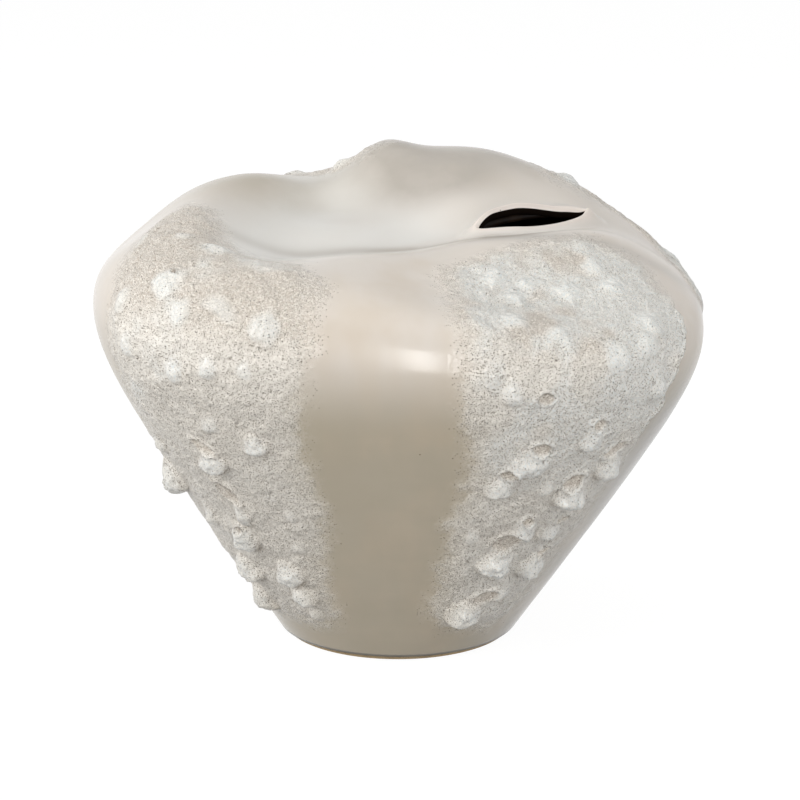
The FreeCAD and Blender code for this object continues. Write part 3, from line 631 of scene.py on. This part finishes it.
def coat_piece(form):
    """The satin coat over wall, top, collar and lips, in one run."""
    body = VaseBody(form)
    wall_rows, top_rows, collar_rows, columns = 96, 110, 19, 372
    # Places round the nose of the lips, as shares of a half turn; past the turn below, the coat is painted
    # black as the shade inside the slit
    nose_turns = [0, 0.07, 0.14, 0.2, 0.25, 0.28, 0.29, 0.36, 0.44, 0.54, 0.66, 0.8]
    painted_shade_from = 0.285
    angle = np.linspace(0, 2 * math.pi, columns, endpoint=False)[None, :]
    ones = np.ones_like(angle)
    level = np.linspace(0, 1, wall_rows, endpoint=False)[:, None] * ones
    smooth_wall = body.wall(angle, level, form.coat, form.glaze_line)
    wall = body.wall(angle, level, form.coat + body.wavy(smooth_wall), form.glaze_line)
    top_level = np.linspace(1, 2, top_rows, endpoint=False)[:, None] * ones
    top = body.coat_skin(angle, top_level)
    nose = 1 - form.lip_thickness / 2 / form.collar_width
    part = np.linspace(0, nose, collar_rows, endpoint=False)[:, None] * ones
    calm = 1 - smooth(part, 0, nose / 2)
    smooth_collar = body.collar(angle, part, form.coat, form.coat)
    grow = form.coat + body.wavy(smooth_collar) * calm
    collar = body.collar(angle, part, grow, grow)
    turn = math.pi * np.array(nose_turns)[:, None] * ones
    radius = form.lip_thickness / 2 + form.coat
    lip_part = nose + radius * np.sin(turn) / form.collar_width
    lip = body.collar(angle, lip_part, radius * np.cos(turn) - form.lip_thickness / 2, form.coat)
    front = np.concatenate([wall, top, collar, lip])
    levels = np.concatenate([level, top_level, 2 + part, 3 * np.ones_like(turn)])
    normals = unit(np.cross(np.roll(front, -1, 1) - np.roll(front, 1, 1), np.gradient(front, axis=0)))
    back = front - normals * form.coat * 1.5
    values = coat_fields(body, front, levels)
    values["lips"] = smooth(levels, 2.45, 2.9)
    inner = np.zeros_like(levels)
    # The coat inside the slit is painted black as shade
    inner[-len(nose_turns):] = turn > math.pi * painted_shade_from
    values["inner"] = inner
    return sheet("satin_coat", front, back, coarse=4, closed_round=True, values=values)


def coat_fields(body, points, levels):
    """Where the satin coat pools and takes a painted sky reflection, where it belongs to the shoulder,
    where it takes painted shade on the top and below the right shoulder, and where it is ochre.
    """
    x, y = points[..., 0], points[..., 1]
    over = smooth(levels, 1.05, 1.35)
    pool = sum(pooling_and_sheen.get(name, 0) * body.unit_form(x, y, shares) for shares, name, sign in top_forms)
    pool = np.clip(pool * over, 0, 1)
    # Painted shade on the top's slopes and along the front crest
    thin = np.clip(sum(body.unit_form(x, y, shares) for shares in painted_shade_places), 0, 1) * over
    # Painted shade on the wall below the right shoulder
    gap = np.degrees(away_from(np.arctan2(y, x), painted_shade_direction))
    grey = hump(gap, 0, painted_shade_spread) * smooth(levels, 1.0, 0.75)
    ochre = body.unit_form(x, y, ochre_place) * smooth(levels, 0.9, 1.15)
    return {"pool": pool, "upper": smooth(levels, 0.8, 1.1), "thin": thin, "grey": grey, "ochre": ochre}


def drip(local, size, softness):
    """Bulge of a blister, full at its low side and fading upward, its core, and the band of painted shade
    below it.

    Each runs from 0 to 1.
    """
    x, y = local[..., 0] / size[0], local[..., 1] / size[1]
    long = np.where(y > 0, 1.9, 1.0)
    away = x ** 2 + (y / long) ** 2
    swell = softness + 0.6 * smooth(y, -0.5, 1.0)
    core = np.clip(1 - away, 0, 1)
    below = hump(np.sqrt(away), 1.05, 0.17) * smooth(y, -0.15, -0.8)
    return core ** swell, core, below


def lens(local, size, lean):
    """Distance from the middle of a crater as a share of its lens-shaped edge, and the place up it."""
    turn = math.radians(lean)
    x = local[..., 0] * math.cos(turn) + local[..., 1] * math.sin(turn)
    y = local[..., 1] * math.cos(turn) - local[..., 0] * math.sin(turn)
    return (np.abs(x / size[0]) ** 1.7 + np.abs(y / size[1]) ** 1.7) ** (1 / 1.7), y / size[1]


def local_places(body, points, direction, level):
    """Each point's place across and up from a place of the surface, and its distance."""
    angle, level = np.array([math.radians(direction)]), np.array([level])
    middle = body.skin(angle, level, body.form.coat)[0]
    across, upward = (vector[0] for vector in stretches(body, angle, level))
    normal = unit(np.cross(across, upward))
    up = unit(upward)
    side = np.cross(up, normal)
    away = points - middle
    return np.stack([away @ side, away @ up], -1), np.linalg.norm(away, axis=-1)


def patch_grid(body, foam, edges, spare):
    """Levels and directions over a patch with a spare border, the directions of its two sides, and
    the share of the way across.
    """
    low, high = edges[0][0], edges[-1][0]
    lowest = 0.005
    reach = []
    for end in (low, high):
        first, last = edge_directions(edges, end)
        upward = stretches(body, np.array([(first + last) / 2]), np.array([end]))[1]
        reach.append(spare / np.linalg.norm(upward[0]))
    level = np.linspace(low - min(reach[0], low - lowest), high + reach[1], foam.rows + 1)
    sides = np.array([edge_directions(edges, value) for value in level])
    width = np.linalg.norm(stretches(body, sides.mean(1), level)[0], axis=-1)
    part = np.linspace(0, 1, foam.columns + 1)[None, :]
    first = sides[:, 0] - spare / width
    last = sides[:, 1] + spare / width
    angle = first[:, None] + (last - first)[:, None] * part
    return level[:, None] * np.ones_like(angle), angle, sides, part


def blisters(body, points, patch, wander, fog):
    """Height of a patch's blisters, their frost, how smooth they are, and the shade below them."""
    bumpy = noise(points, rough_width, patch["seed"] + 23, 2)
    bulge, frost, calm, below = (np.zeros_like(fog) for field in range(4))
    for direction, level, half_width, half_height, rise, white in patch["lumps"]:
        local, away = local_places(body, points, direction, level)
        size = half_width * millimetre, half_height * millimetre
        softness = 1.3 - 0.75 * smooth(rise, 2.2, 4.5)
        shape, core, under = drip(local + wander * size[1] * 0.55, size, softness)
        near = away < 3 * max(size)
        # Painted shade in a band below each larger blister
        below = np.maximum(below, np.where(near, under, 0) * smooth(rise, 1.5, 4.5))
        rise = np.where(near, shape, 0) * rise * millimetre * (0.85 + 0.6 * bumpy)
        bulge = np.maximum(bulge, rise) + 0.35 * np.minimum(bulge, rise)
        core = np.where(near, core, 0)
        frost = np.maximum(frost, smooth(core + (fog - 0.5) * 1.1 * core, 0.0, 1.0) * white)
        calm = np.maximum(calm, smooth(core, 0.25, 0.7))
    return bulge, frost, calm, below


def burst_blister(body, points, foam, crater, wander):
    """Hole of a crater and the shade below its upper rim, and the heights of its ring and its floor."""
    direction, level, half_width, half_height, lean = crater
    local, away = local_places(body, points, direction, level)
    size = half_width * millimetre * foam.crater_scale, half_height * millimetre * foam.crater_scale
    edge, side = lens(local + wander * size[1] * 0.5, size, lean)
    edge = np.where(away < 4 * size[0], edge, 9)
    hole = 1 - smooth(edge, 0.8, 1.0)
    ring = hump(edge, 1.18, 0.22) * foam.crater_rim
    floor = foam.film + foam.thickness * 0.9 * smooth(side, 0.8, -1)
    return hole, hole * smooth(side, -0.1, 0.7), ring, floor


def foam_piece(form, foam, name, patch):
    """One patch of foamed glaze with its blisters, craters and pits."""
    body = VaseBody(form)
    seed, edges = patch["seed"], patch["edges"]
    spare = 2 * foam.fade
    level, angle, sides, part = patch_grid(body, foam, edges, spare)
    points = body.coat_skin(angle, level)
    across, upward = stretches(body, angle, level)
    normals = unit(np.cross(across, upward))
    wide, tall = np.linalg.norm(across, axis=-1), np.linalg.norm(upward, axis=-1)

    # How far each point lies inside the patch: the least of its gaps, rounded at the corners
    first_gap, last_gap = (angle - sides[:, :1]) * wide, (sides[:, 1:] - angle) * wide
    gaps = [first_gap, last_gap, (level - edges[0][0]) * tall, (edges[-1][0] - level) * tall]
    plain = -foam.corner * np.log(sum(np.exp(np.clip(-gap / foam.corner, -30, 30)) for gap in gaps))
    inside = plain + uneven(points, foam.ragged, seed) * foam.ragged
    inside = inside + uneven(points, foam.ragged / 3, seed + 3) * foam.ragged / 2

    # How thickly the foam stands there
    crisp = patch["crisp"] * smooth(last_gap, 0.022, 0.006) * between(level, 0.6, 0.8, 1.3, 1.5)
    fade = foam.fade * (1 - 0.8 * crisp)
    cover = smooth(inside / fade, -1, 0.8)
    deep = smooth(inside / fade, -0.3, 1.6)
    body_share = smooth(inside / fade, -0.6, 1.9)
    lumps = uneven(points, swell_width, seed + 11) * 1.5 + uneven(points, lump_width, seed + 13) * 0.9
    grain = uneven(points, foam.grain_size, seed + 7) * 2
    bead = crisp * foam.bead * hump(inside, foam.bead * 2, foam.bead * 1.6)
    height = foam.film + foam.thickness * deep * (1 + lumps) + bead

    # Blisters, and a mist of frost between them
    wander = np.stack([uneven(points, wander_width, seed + 17 + axis) for axis in (0, 1)], -1)
    fog = noise(points, cloud_width, seed + 21, 3)
    bulge, frost, calm, below = blisters(body, points, patch, wander, fog)
    first_frost, last_frost = patch["frost"]
    foggy = 0.72 - 0.5 * (first_frost + (last_frost - first_frost) * smooth(part, 0.1, 0.9))
    mist = smooth(fog, foggy, foggy + 0.28) * (0.35 + 0.65 * smooth(level, 0.5, 0.95))
    frost = np.clip(frost + (1 - frost) * 0.8 * mist * deep, 0, 1)
    height = height + bulge + grain * foam.grain_rise * deep * (1 - 0.7 * smooth(bulge, 0, 0.002))

    # Craters, which cut into all of that
    crater, cave = np.zeros_like(plain), np.zeros_like(plain)
    for place in patch["craters"]:
        hole, shade, ring, floor = burst_blister(body, points, foam, place, wander)
        height = (height + ring) * (1 - hole) + floor * hole
        # Painted shadow under each crater's upper rim
        cave = np.maximum(cave, shade)
        crater = np.maximum(crater, hole)
        frost, calm = frost * (1 - hole), calm * (1 - hole)

    # Common pits, and fewer large ones
    small = pit_field(points, pit_pitch, foam.pit_radius, spread=0.7, chance=0.6, seed=seed + 31)
    large_radius = foam.pit_radius * 1.7
    large = pit_field(points, large_pit_pitch, large_radius, spread=0.5, chance=0.4, seed=seed + 41)
    holes = np.maximum((1 - smooth(small, 0.5, 1.1)) * (1 - 0.3 * frost), 1 - smooth(large, 0.6, 1.0))
    holes = holes * (1 - crater) * deep
    rims = hump(small, 1.4, 0.35) + hump(large, 1.3, 0.3)
    height = height - foam.pit_depth * holes + foam.pit_rim * rims * (1 - crater) * deep

    # The sheet dips into the satin coat round its border
    border = smooth(plain, -spare, -spare * 0.3)
    height = height * border - foam.sink * (1 - border)
    for line in (height[0], height[-1], height[:, 0], height[:, -1]):
        line[:] = -foam.sink
    front = points + normals * height[..., None]
    back = points - normals * (foam.sink + form.coat * 0.2)
    values = coat_fields(body, points, level)
    values.update(frost=frost, calm=calm, crater=crater, cave=cave, pit=holes, cover=cover,
                  below=below * deep, body=body_share, over=smooth(level, 1.0, 1.2))
    return sheet(name, front, back, coarse=7, closed_round=False, values=values)


class Value:
    """An output of a material's nodes, for shader maths written as Python expressions."""

    def __init__(self, finish, socket):
        self.finish = finish
        self.socket = socket

    def maths(self, operation, first, second=0.0, clamp=False):
        """Result of a Math node, held between 0 and 1 if it is clamped."""
        settings = {"operation": operation, "use_clamp": clamp}
        return self.finish.node("ShaderNodeMath", settings, {0: first, 1: second})

    def __add__(self, other):
        return self.maths("ADD", self, other)

    def __sub__(self, other):
        return self.maths("SUBTRACT", self, other)

    def __mul__(self, other):
        return self.maths("MULTIPLY", self, other)

    def __pow__(self, other):
        return self.maths("POWER", self, other)

    def __rsub__(self, other):
        return self.maths("SUBTRACT", other, self)

    __radd__ = __add__
    __rmul__ = __mul__

    def above(self, edge):
        """1 where this is more than an edge, 0 elsewhere."""
        return self.maths("GREATER_THAN", self, edge)

    def larger(self, other):
        """The larger of this and another."""
        return self.maths("MAXIMUM", self, other)


class Finish:
    """Makes one material from its nodes."""

    def __init__(self, name, world=None):
        owner = world or bpy.data.materials.new(name)
        owner.use_nodes = True
        self.owner = owner
        self.tree = owner.node_tree
        self.tree.nodes.clear()
        self.place = self.node("ShaderNodeTexCoord", output="Object")

    def node(self, kind, settings=None, values=None, output=0):
        """Adds a node: first its settings, then the values or links of its sockets."""
        node = self.tree.nodes.new(kind)
        for name, setting in (settings or {}).items():
            setattr(node, name, setting)
        for key, value in (values or {}).items():
            self.join(self.find(node.inputs, key), value)
        return Value(self, self.find(node.outputs, output))

    def find(self, sockets, key):
        """Socket with a number, an identifier or a name."""
        if isinstance(key, int):
            return sockets[key]
        return next(socket for socket in sockets if key in (socket.identifier, socket.name))

    def join(self, socket, value):
        """Links a value to a socket, or sets it there; a colour is made opaque."""
        if isinstance(value, Value):
            self.tree.links.new(value.socket, socket)
        elif socket.type == "RGBA":
            socket.default_value = (*value, 1)
        else:
            socket.default_value = value

    def field(self, name):
        """Value that the mesh carries under a name."""
        return self.node("ShaderNodeAttribute", {"attribute_name": name}, output="Fac")

    def grains(self, size, detail=2.0, seed=0.0, stretch=(1, 1, 1)):
        """Noise from 0 to 1 with lumps of a size."""
        place = self.node("ShaderNodeVectorMath", {"operation": "MULTIPLY_ADD"},
                          {0: self.place, 1: stretch, 2: (seed, seed, seed)})
        return self.node("ShaderNodeTexNoise", {}, {"Vector": place, "Scale": 1 / size, "Detail": detail})

    def cells(self, size, output="Distance"):
        """Distance from the middles of cells of a size, or another output of them."""
        return self.node("ShaderNodeTexVoronoi", {}, {"Vector": self.place, "Scale": 1 / size}, output)

    def draws(self, size):
        """Random number from 0 to 1 for each cell of a size."""
        return self.node("ShaderNodeSeparateColor", {}, {0: self.cells(size, "Color")})

    def eased(self, value, low, high, start=0.0, end=1.0):
        """Value carried smoothly from one range to another, and held at its ends."""
        settings = {"interpolation_type": "SMOOTHSTEP"}
        names = {"Value": value, "From Min": low, "From Max": high, "To Min": start, "To Max": end}
        return self.node("ShaderNodeMapRange", settings, names)

    def share_between(self, value, low, high):
        """Share of the way from low to high, where these vary too."""
        return value.maths("DIVIDE", value - low, high - low, True)

    def blend(self, part, first, second):
        """Colour between two colours."""
        values = {"Factor_Float": part, "A_Color": first, "B_Color": second}
        return self.node("ShaderNodeMix", {"data_type": "RGBA"}, values, "Result_Color")

    def layered(self, shade, layers):
        """Colour of a ground under layers, each a share of cover and a colour."""
        for part, tint in layers:
            shade = self.blend(part, shade, tint)
        return shade

    def split(self, vector, axis):
        """One axis of a vector."""
        return self.node("ShaderNodeSeparateXYZ", {}, {0: vector}, axis)

    def bump(self, height, distance):
        """Normal bent by a height whose unit is a distance."""
        return self.node("ShaderNodeBump", {}, {"Height": height, "Distance": distance, "Strength": 1.0})

    def surface(self, values):
        """Ends the material in a Principled shader with these values."""
        shader = self.node("ShaderNodeBsdfPrincipled", {}, values)
        self.node_output(shader)
        return self.owner

    def node_output(self, shader, kind="ShaderNodeOutputMaterial"):
        """Ends the material, or the world, in a shader."""
        output = self.tree.nodes.new(kind)
        self.tree.links.new(shader.socket, output.inputs[0])


def satin_look(finish, satin):
    """Colour, roughness and fine relief of the satin coat."""
    upper, pool = finish.field("upper"), finish.field("pool")
    drift = finish.grains(0.05, detail=3.0)
    streak = finish.grains(0.018, seed=4.0, stretch=(1, 1, 0.12))
    cloud = finish.grains(0.02, detail=3.0, seed=9.0)
    patchy = finish.eased(cloud, 0.2, 0.7, 0.75, 1.0)
    # From the wall colour, darkened as painted shade, up to the shoulder's colour
    shade = finish.layered(satin.lower, [
        (upper, satin.upper),
        # Painted shade below the right shoulder
        (finish.field("grey"), satin.grey),
        (finish.eased(drift * 0.6 + streak * 0.4, 0.42, 0.72) * 0.4 * (1 - pool), satin.thin),
        # Paler pooled glaze with a painted reflection of the bright sky
        (pool * finish.eased(drift, 0.2, 0.6, 0.6, 1.0), satin.pooled_and_sheen),
        # Painted shade on the top's slopes and along the front crest
        (finish.field("thin") * patchy, satin.faint),
        (finish.field("ochre") * patchy, satin.ochre),
        (finish.eased(cloud, 0.3, 0.8) * 0.04, satin.pooled_and_sheen),
    ])

    # Faint level ripples from the hand, and a fine unevenness
    height = finish.split(finish.place, "Z")
    wobble = finish.grains(0.03, seed=2.0) * (satin.ripple_pitch * 1.5)
    turns = (height + wobble) * (2 * math.pi / satin.ripple_pitch)
    ripple = turns.maths("SINE", turns) * (1 - upper) * satin.ripple
    relief = ripple + finish.grains(0.004, seed=6.0) * 0.000012
    rough = satin.roughness + finish.eased(cloud, 0.35, 0.75) * 0.06
    return shade, rough, relief


def satin_material(satin):
    """Satin coat: warm on the shoulder, tan with painted shade on the wall, pale with a painted sky
    reflection where it pools, painted black shade inside the slit.
    """
    finish = Finish("satin glaze")
    shade, rough, relief = satin_look(finish, satin)
    pinhole = finish.eased(finish.cells(0.03), 0.012, 0.018, 1.0, 0.0)
    shade = finish.layered(shade, [(finish.field("lips") * 0.7, satin.lip), (pinhole * 0.8, satin.pinhole)])
    skin = finish.bump(relief - pinhole * 0.0002, 1.0)
    coat = finish.node("ShaderNodeBsdfPrincipled", {},
                       {"Base Color": shade, "Roughness": rough, "Normal": skin})
    dark = finish.node("ShaderNodeBsdfPrincipled", {},
                       {"Base Color": satin.inner, "Roughness": 0.9, "Specular IOR Level": 0.0})
    finish.node_output(finish.node("ShaderNodeMixShader", {}, {0: finish.field("inner"), 1: coat, 2: dark}))
    return finish.owner


def foam_material(foam, satin):
    """Foamed glaze on the satin coat: grainy, frosted on its blisters, tan in craters, dark in pits."""
    finish = Finish("crater glaze")
    under, under_rough, under_relief = satin_look(finish, satin)
    frost, crater, pit = finish.field("frost"), finish.field("crater"), finish.field("pit")
    cover, calm = finish.field("cover"), finish.field("calm")
    upper, over = finish.field("upper"), finish.field("over")
    fine = finish.grains(foam.fine_size)
    clots = finish.grains(foam.clot_size, seed=8.0)
    warm = finish.grains(0.02, detail=3.0, seed=3.0)

    # Where the foam covers the satin coat: more and more single grains, up to a closed body
    specks = finish.share_between(fine, 0.84 - cover * 0.72, 0.98 - cover * 0.72)
    specks = specks * (0.3 + 0.7 * finish.field("body"))

    # Small bubbles with painted shade in them and a painted highlight on the ring round them, and darker
    # pricks
    from_bubble = finish.cells(foam.bubble_pitch)
    chosen = (finish.draws(foam.bubble_pitch) + cover * 0.93).above(1.0)
    bubble = finish.eased(from_bubble, 0.18, 0.38, 1.0, 0.0) * chosen * (1 - calm * 0.6)
    ring = finish.eased(from_bubble, 0.3, 0.45) * (1 - finish.eased(from_bubble, 0.5, 0.7)) * cover
    chosen = (finish.draws(foam.prick_pitch) + cover * 0.4 + calm * 0.35).above(1.0)
    prick = finish.eased(finish.cells(foam.prick_pitch), 0.1, 0.2, 1.0, 0.0) * chosen * (1 - crater)

    # The body of the foam, with painted shade that makes it tan on the top and greyer on the lower wall
    body = finish.layered(foam.dark_foam, [
        (finish.eased(clots, 0.3, 0.6), foam.foam),
        (finish.eased(clots, 0.2, 0.7, 0.8, 1.0), foam.foam),
        (finish.eased(fine, 0.36, 0.52, 0.45, 0.0) * (1 - upper), foam.dark_foam),
        (finish.eased(warm, 0.35, 0.7) * 0.2, foam.crater),
        # Painted shade on the top
        (over * (1 - frost * 0.85) * 0.9, foam.crater),
        # Painted shade on the lower wall
        ((1 - upper) * 0.3, satin.grey),
    ])

    # Its blisters, the shade below them, its craters and its pits
    # Painted shade on the blisters of the top
    white = finish.blend(over * 0.45, foam.frost, foam.painted_shade_frost)
    body = finish.layered(body, [
        (frost * finish.eased(fine, 0.25, 0.6, 0.55, 0.9), white),
        # Painted shade below the blisters
        (finish.field("below") * 0.75, foam.dark_foam),
        (crater * finish.eased(clots, 0.2, 0.7, 0.6, 1.0), foam.crater),
        # Painted shadow under the upper rim of each crater
        (finish.field("cave") * 0.7, foam.pit),
        (pit ** 1.5 * 0.9, foam.pit),
    ])

    # All of that on the satin coat, with the bubbles and pricks on top
    shade = finish.layered(under, [
        (specks, body),
        # Painted highlight on the rings and painted shade in the bubbles
        (ring * 0.8, foam.foam),
        (bubble * (0.85 - upper * 0.15), foam.dark_foam),
        (prick * 0.9, foam.pit),
    ])

    # Blisters and craters are smoother than the rest
    rough_share = (1 - calm * 0.6) * (1 - crater * 0.5)
    relief = (fine * 0.0004 + clots * 0.0009) * rough_share * cover - bubble * 0.0005 - prick * 0.0002
    rough = under_rough * (1 - specks) + (0.2 + rough_share * 0.1) * specks
    skin = finish.bump(under_relief + relief, 1.0)
    return finish.surface({"Base Color": shade, "Roughness": rough, "Normal": skin})


def clay_material(clay):
    """Bare stoneware with iron specks."""
    finish = Finish("bare clay")
    spots = finish.eased(finish.cells(clay.speck_size), 0.12, 0.32, 1.0, 0.0)
    cloud = finish.eased(finish.grains(0.012), 0.4, 0.7)
    shade = finish.layered(clay.clay, [(spots * 0.6, clay.speck), (cloud * 0.3, clay.speck)])
    skin = finish.bump(finish.grains(0.0006, detail=3.0), 0.00015)
    rough = 0.75 + finish.grains(0.003) * 0.15
    return finish.surface({"Base Color": shade, "Roughness": rough, "Normal": skin})


def liner_material(clay):
    """Near-black glaze inside the vase, with hardly any reflection, as painted shade of the dark inside."""
    finish = Finish("liner glaze")
    cloud = finish.grains(0.01, detail=3.0)
    shade = finish.blend(finish.eased(cloud, 0.4, 0.8) * 0.15, clay.liner, clay.speck)
    skin = finish.bump(finish.grains(0.004), 0.0001)
    rough = 0.32 + cloud * 0.1
    values = {"Base Color": shade, "Roughness": rough, "Normal": skin, "Specular IOR Level": 0.05}
    return finish.surface(values)


def dress(piece, nodes, material):
    """Gives a piece its material in a slot, hangs it under the root body, and hides the nodes of the frame
    that it stands for.
    """
    piece.data.materials.append(material)
    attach(piece, "root")
    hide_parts(*nodes)


def refinish(names, material):
    """Gives nodes of the frame a new material."""
    for name in names:
        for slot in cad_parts[name].material_slots:
            slot.material = material


class VASE_OT_clay_body(Operator):
    """Finish the clay of foot, floor, wall, top and collar"""
    bl_idname = "vase.clay_body"
    bl_label = "Clay body"

    def execute(self, context):
        clay = context.scene.vase_clay
        refinish(("foot_ring", "floor_disc", "bowl_wall", "cushion_top"), clay_material(clay))
        return {"FINISHED"}


class VASE_OT_liner(Operator):
    """Finish the inside and the collar's underside in the near-black liner, painted shade of the dark
    inside
    """
    bl_idname = "vase.liner"
    bl_label = "Liner glaze"

    def execute(self, context):
        refinish(("bowl_liner", "top_liner", "mouth_collar"), liner_material(context.scene.vase_clay))
        return {"FINISHED"}


class VASE_OT_satin_coat(Operator):
    """Lay the satin coat over wall, top and lips"""
    bl_idname = "vase.satin_coat"
    bl_label = "Satin coat"

    def execute(self, context):
        piece = coat_piece(context.scene.vase_form)
        material = satin_material(context.scene.vase_satin)
        dress(piece, ("wall_glaze", "top_glaze", "lip_glaze"), material)
        return {"FINISHED"}


class VASE_OT_foam_patches(Operator):
    """Lay the four patches of foamed glaze with their blisters"""
    bl_idname = "vase.foam_patches"
    bl_label = "Foam patches"

    def execute(self, context):
        form, foam = context.scene.vase_form, context.scene.vase_foam
        material = foam_material(foam, context.scene.vase_satin)
        for name, patch in patches.items():
            piece = foam_piece(form, foam, "foam_" + name, patch)
            dress(piece, ("crust_" + name, "blisters_" + name), material)
        return {"FINISHED"}


def lamp(name, place, aim, size, power, tint):
    """Soft lamp that looks at a point."""
    light = bpy.data.lights.new(name, "AREA")
    light.shape = "RECTANGLE"
    light.size, light.size_y = size
    light.energy = power
    light.color = tint
    holder = bpy.data.objects.new(name, light)
    holder.location = place
    holder.rotation_euler = (Vector(aim) - Vector(place)).to_track_quat("-Z", "Y").to_euler()
    holder.visible_camera = False
    bpy.context.scene.collection.objects.link(holder)


def floor_piece(radius):
    """Round floor with rings of faces, finer towards the vase."""
    rings, sides = 12, 96
    points, faces = [(0, 0, 0)], []
    for ring in range(1, rings + 1):
        reach = radius * (ring / rings) ** 2
        for side in range(sides):
            angle = 2 * math.pi * side / sides
            points.append((reach * math.cos(angle), reach * math.sin(angle), 0))
    for side in range(sides):
        after = (side + 1) % sides
        faces.append((0, 1 + side, 1 + after))
        for ring in range(1, rings):
            inner, outer = 1 + (ring - 1) * sides, 1 + ring * sides
            faces.append((inner + side, outer + side, outer + after, inner + after))
    mesh = bpy.data.meshes.new("studio_floor")
    mesh.from_pydata(points, [], faces)
    piece = bpy.data.objects.new("studio_floor", mesh)
    bpy.context.scene.collection.objects.link(piece)
    return piece


def seen_directly(finish):
    """1 for rays that show the background, 0 for rays that only carry light."""
    seen = finish.node("ShaderNodeLightPath", output="Is Camera Ray")
    for way in ("Is Glossy Ray", "Is Transmission Ray"):
        seen = seen.larger(finish.node("ShaderNodeLightPath", output=way))
    return seen


class VASE_OT_studio(Operator):
    """Set the floor, the lamps and the camera"""
    bl_idname = "vase.studio"
    bl_label = "Studio"

    def execute(self, context):
        studio = context.scene.vase_studio
        ground = floor_piece(studio.floor_radius)
        finish = Finish("studio floor")
        seen = seen_directly(finish)
        shade = finish.blend(seen, (studio.bounce,) * 3, studio.floor)
        matt = finish.node("ShaderNodeBsdfDiffuse", {}, {"Color": shade})
        white = finish.node("ShaderNodeEmission", {}, {"Color": (1, 1, 1), "Strength": studio.white})
        both = finish.node("ShaderNodeMixShader", {}, {0: seen * studio.glow, 1: matt, 2: white})
        finish.node_output(both)
        ground.data.materials.append(finish.owner)

        world = bpy.data.worlds.new("studio air")
        context.scene.world = world
        finish = Finish("studio air", world)
        glow = finish.blend(seen_directly(finish), (studio.air,) * 3, (1, 1, 1))
        air = finish.node("ShaderNodeBackground", {}, {"Color": glow, "Strength": 1.0})
        finish.node_output(air, "ShaderNodeOutputWorld")

        # Each lamp: its name, place, aim, size and tint; the studio holds its power
        middle, shoulder = (0, 0, 0.15), (0, -0.1, 0.18)
        warm, cool, cream = (1, 0.99, 0.97), (0.97, 0.985, 1), (1, 0.985, 0.96)
        lamps = [
            ("overhead", (0, 0.25, 2.1), middle, (2.6, 2.6), warm),
            ("left", (-1.45, 0.1, 0.8), middle, (1.2, 1.2), cool),
            ("right", (1.35, -0.75, 0.8), middle, (1.2, 1.2), cool),
            ("front", (-1.55, -0.95, 0.85), middle, (0.9, 0.9), warm),
            ("fill", (0.5, -2.2, 1.0), middle, (1.6, 1.6), warm),
            ("strip", (0.06, -1.2, 0.37), shoulder, (0.12, 0.7), cream),
        ]
        for name, place, aim, size, tint in lamps:
            lamp(name + " lamp", place, aim, size, getattr(studio, name), tint)

        eye = bpy.data.cameras.new("camera")
        eye.lens = studio.lens
        eye.sensor_width = 36
        holder = bpy.data.objects.new("camera", eye)
        tilt = math.radians(studio.camera_height)
        look = Vector((0, math.cos(tilt), -math.sin(tilt)))
        aim = Vector((0, 0, studio.camera_aim))
        holder.location = aim - look * studio.camera_distance
        # The photograph's frame lies a little to the right of that aim and above it
        to_right, upward = 0.00105, 0.0024
        up = Vector((0, math.sin(tilt), math.cos(tilt)))
        aim = aim + Vector((to_right, 0, 0)) + up * upward
        holder.rotation_euler = (aim - holder.location).to_track_quat("-Z", "Y").to_euler()
        context.scene.collection.objects.link(holder)
        context.scene.camera = holder
        context.scene.view_settings.view_transform = "Standard"
        return {"FINISHED"}


class VASE_PT_workshop(Panel):
    """Sizes and finishes of the vase, and the steps that make it"""
    bl_label = "Pillow vase"
    bl_idname = "VASE_PT_workshop"
    bl_space_type = "VIEW_3D"
    bl_region_type = "UI"
    bl_category = "Vase"

    def draw(self, context):
        for step in steps:
            self.layout.operator(step.bl_idname)
        for name, group in groups.items():
            box = self.layout.box()
            box.label(text=group.__doc__)
            for setting in group.__annotations__:
                box.prop(getattr(context.scene, name), setting)


groups = {
    "vase_form": VaseForm,
    "vase_satin": SatinGlaze,
    "vase_foam": FoamGlaze,
    "vase_clay": ClayFinish,
    "vase_studio": StudioSet,
}
steps = (VASE_OT_clay_body, VASE_OT_liner, VASE_OT_satin_coat, VASE_OT_foam_patches, VASE_OT_studio)


def register():
    """Registers the classes and hangs the settings on the scene."""
    for group in (*groups.values(), *steps, VASE_PT_workshop):
        bpy.utils.register_class(group)
    for name, group in groups.items():
        setattr(bpy.types.Scene, name, PointerProperty(type=group))


def unregister():
    """Takes all of that away again."""
    for name in groups:
        delattr(bpy.types.Scene, name)
    for group in reversed((*groups.values(), *steps, VASE_PT_workshop)):
        bpy.utils.unregister_class(group)


def main():
    """Makes the vase and the studio."""
    register()
    bpy.ops.vase.studio()
    bpy.ops.vase.clay_body()
    bpy.ops.vase.liner()
    bpy.ops.vase.satin_coat()
    bpy.ops.vase.foam_patches()


if __name__ == "__main__":
    main()
